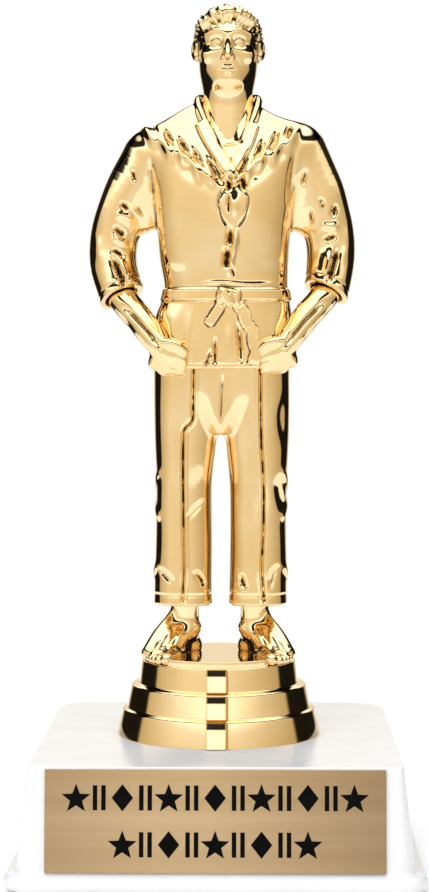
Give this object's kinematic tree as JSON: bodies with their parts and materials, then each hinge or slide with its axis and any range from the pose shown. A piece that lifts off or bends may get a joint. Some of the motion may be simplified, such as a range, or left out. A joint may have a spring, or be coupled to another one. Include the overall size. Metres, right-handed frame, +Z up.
{
  "type": "figure trophy",
  "caption": "Gold plated standing martial arts figure on a round stepped pedestal, clamped to a white flared weighted base with a blank-bordered nameplate; the figure turns on its rod.",
  "frame": {"origin": "centre of the felt underside, on the table", "axes": "+Z up along the central rod, -Y towards the front with the nameplate, +X to the viewer's right"},
  "size_m": [0.0758, 0.0828, 0.1632],
  "materials": {
    "gold_plating": "vacuum-metallised bright gold on styrene",
    "white_plastic": "glossy white moulded styrene",
    "zinc_steel": "zinc plated",
    "ballast_steel": "bare sawn steel",
    "card": "grey-brown board",
    "felt": "green felt",
    "gold_aluminium": "brushed gold anodised",
    "adhesive_film": "double-sided film"
  },
  "bodies": {
    "base": {"base_shell": "white_plastic", "ballast": "ballast_steel", "fender_washer": "zinc_steel", "bottom_card": "card", "felt_pad": "felt", "nameplate": "gold_aluminium", "nameplate_tape": "adhesive_film"},
    "figure": {"figure_front_shell": "gold_plating", "figure_back_shell": "gold_plating", "pedestal": "gold_plating", "pedestal_nut": "zinc_steel", "threaded_rod": "zinc_steel", "lock_washer": "zinc_steel", "base_nut": "zinc_steel"}
  },
  "joints": [
    {"name": "figure_swivel", "type": "hinge", "parent": "base", "child": "figure", "pos_m": [0, 0, 0.023], "axis": [0, 0, 1], "continuous": true}
  ]
}
